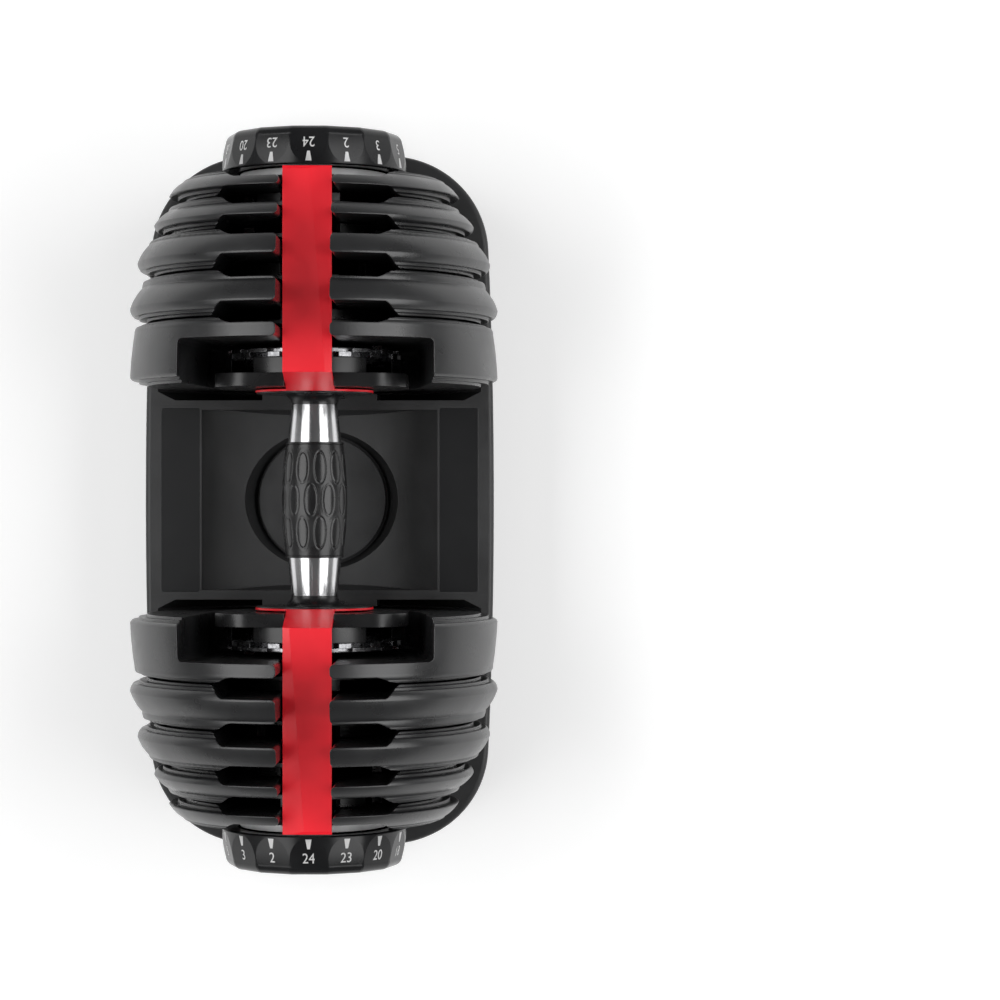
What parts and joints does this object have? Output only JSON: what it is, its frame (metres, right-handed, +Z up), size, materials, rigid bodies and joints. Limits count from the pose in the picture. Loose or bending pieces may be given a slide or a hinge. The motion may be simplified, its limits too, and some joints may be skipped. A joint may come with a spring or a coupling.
{
  "type": "adjustable dumbbell",
  "caption": "Adjustable dumbbell in its storage tray: a handle with a selector dial at each end picks up slotted weight plates.",
  "frame": {"origin": "on the floor, under the middle of the grip", "axes": "+Z up, +Y along the handle, +X across it"},
  "size_m": [0.2116, 0.429, 0.2282],
  "materials": {
    "tray_plastic": "matte",
    "pad_plastic": "satin",
    "plate_plastic": "satin",
    "black_plastic": "satin",
    "dial_plastic": "satin",
    "grey_plastic": "satin",
    "red_plastic": "satin",
    "rubber": "satin",
    "steel": "satin",
    "chrome": "polished",
    "core_steel": "matte"
  },
  "bodies": {
    "base": {"tray_deck": "tray_plastic", "tray_end_front": "tray_plastic", "tray_end_rear": "tray_plastic", "side_pads": "pad_plastic", "rubber_feet": "rubber"},
    "handle": {"handle_rod": "steel", "retaining_bolts": "steel", "grip_core": "black_plastic", "grip_sleeve": "rubber", "grip_rings": "black_plastic", "ferrules": "chrome", "collars": "black_plastic", "bridge_front": "red_plastic", "inner_housing_front": "black_plastic", "end_plate_front": "grey_plastic", "bridge_rear": "red_plastic", "inner_housing_rear": "black_plastic", "end_plate_rear": "grey_plastic"},
    "dial_front": {"dial_front": "dial_plastic", "dial_cap_front": "dial_plastic", "index_disc_front": "steel", "drive_tube_front": "black_plastic", "selector_disc_front_1": "black_plastic", "selector_disc_front_2": "black_plastic", "selector_disc_front_3": "black_plastic", "selector_disc_front_4": "black_plastic", "selector_disc_front_5": "black_plastic"},
    "lock_front": {"lock_slider_front": "steel", "lock_spring_front": "steel"},
    "dial_rear": {"dial_rear": "dial_plastic", "dial_cap_rear": "dial_plastic", "index_disc_rear": "steel", "drive_tube_rear": "black_plastic", "selector_disc_rear_1": "black_plastic", "selector_disc_rear_2": "black_plastic", "selector_disc_rear_3": "black_plastic", "selector_disc_rear_4": "black_plastic", "selector_disc_rear_5": "black_plastic"},
    "lock_rear": {"lock_slider_rear": "steel", "lock_spring_rear": "steel"},
    "plate_front_1": {"plate_front_1": "plate_plastic", "plate_core_front_1": "core_steel"},
    "plate_front_2": {"plate_front_2": "plate_plastic", "plate_core_front_2": "core_steel"},
    "plate_front_3": {"plate_front_3": "plate_plastic", "plate_core_front_3": "core_steel"},
    "plate_front_4": {"plate_front_4": "plate_plastic", "plate_core_front_4": "core_steel"},
    "plate_front_5": {"plate_front_5": "plate_plastic", "plate_core_front_5": "core_steel"},
    "plate_rear_1": {"plate_rear_1": "plate_plastic", "plate_core_rear_1": "core_steel"},
    "plate_rear_2": {"plate_rear_2": "plate_plastic", "plate_core_rear_2": "core_steel"},
    "plate_rear_3": {"plate_rear_3": "plate_plastic", "plate_core_rear_3": "core_steel"},
    "plate_rear_4": {"plate_rear_4": "plate_plastic", "plate_core_rear_4": "core_steel"},
    "plate_rear_5": {"plate_rear_5": "plate_plastic", "plate_core_rear_5": "core_steel"}
  },
  "joints": [
    {"name": "lift", "type": "slide", "parent": "base", "child": "handle", "axis": [0, 0, 1], "range_m": [0, 0.15]},
    {"name": "plate_lift_front_1", "type": "slide", "parent": "base", "child": "plate_front_1", "axis": [0, 0, 1], "range_m": [0, 0.15]},
    {"name": "plate_lift_front_2", "type": "slide", "parent": "base", "child": "plate_front_2", "axis": [0, 0, 1], "range_m": [0, 0.15]},
    {"name": "plate_lift_front_3", "type": "slide", "parent": "base", "child": "plate_front_3", "axis": [0, 0, 1], "range_m": [0, 0.15]},
    {"name": "plate_lift_front_4", "type": "slide", "parent": "base", "child": "plate_front_4", "axis": [0, 0, 1], "range_m": [0, 0.15]},
    {"name": "plate_lift_front_5", "type": "slide", "parent": "base", "child": "plate_front_5", "axis": [0, 0, 1], "range_m": [0, 0.15]},
    {"name": "plate_lift_rear_1", "type": "slide", "parent": "base", "child": "plate_rear_1", "axis": [0, 0, 1], "range_m": [0, 0.15]},
    {"name": "plate_lift_rear_2", "type": "slide", "parent": "base", "child": "plate_rear_2", "axis": [0, 0, 1], "range_m": [0, 0.15]},
    {"name": "plate_lift_rear_3", "type": "slide", "parent": "base", "child": "plate_rear_3", "axis": [0, 0, 1], "range_m": [0, 0.15]},
    {"name": "plate_lift_rear_4", "type": "slide", "parent": "base", "child": "plate_rear_4", "axis": [0, 0, 1], "range_m": [0, 0.15]},
    {"name": "plate_lift_rear_5", "type": "slide", "parent": "base", "child": "plate_rear_5", "axis": [0, 0, 1], "range_m": [0, 0.15]},
    {"name": "dial_turn_front", "type": "hinge", "parent": "handle", "child": "dial_front", "pos_m": [0, -0.2, 0.1235], "axis": [0, -1, 0], "continuous": true},
    {"name": "lock_slide_front", "type": "slide", "parent": "handle", "child": "lock_front", "axis": [0, 0, -1], "range_m": [0, 0.004], "stiffness_N_per_m": 200, "springref_m": 0.008, "deforming": ["lock_spring_front"]},
    {"name": "dial_turn_rear", "type": "hinge", "parent": "handle", "child": "dial_rear", "pos_m": [0, 0.2, 0.1235], "axis": [0, 1, 0], "continuous": true},
    {"name": "lock_slide_rear", "type": "slide", "parent": "handle", "child": "lock_rear", "axis": [0, 0, -1], "range_m": [0, 0.004], "stiffness_N_per_m": 200, "springref_m": 0.008, "deforming": ["lock_spring_rear"]}
  ],
  "couplings": [
    {"joint": "plate_lift_front_1", "follows": "lift", "ratio": 1},
    {"joint": "plate_lift_front_2", "follows": "lift", "ratio": 1},
    {"joint": "plate_lift_front_3", "follows": "lift", "ratio": 1},
    {"joint": "plate_lift_front_4", "follows": "lift", "ratio": 1},
    {"joint": "plate_lift_front_5", "follows": "lift", "ratio": 1},
    {"joint": "plate_lift_rear_1", "follows": "lift", "ratio": 1},
    {"joint": "plate_lift_rear_2", "follows": "lift", "ratio": 1},
    {"joint": "plate_lift_rear_3", "follows": "lift", "ratio": 1},
    {"joint": "plate_lift_rear_4", "follows": "lift", "ratio": 1},
    {"joint": "plate_lift_rear_5", "follows": "lift", "ratio": 1},
    {"joint": "lock_slide_front", "follows": "lift", "ratio": 0.026667},
    {"joint": "lock_slide_rear", "follows": "lift", "ratio": 0.026667}
  ]
}
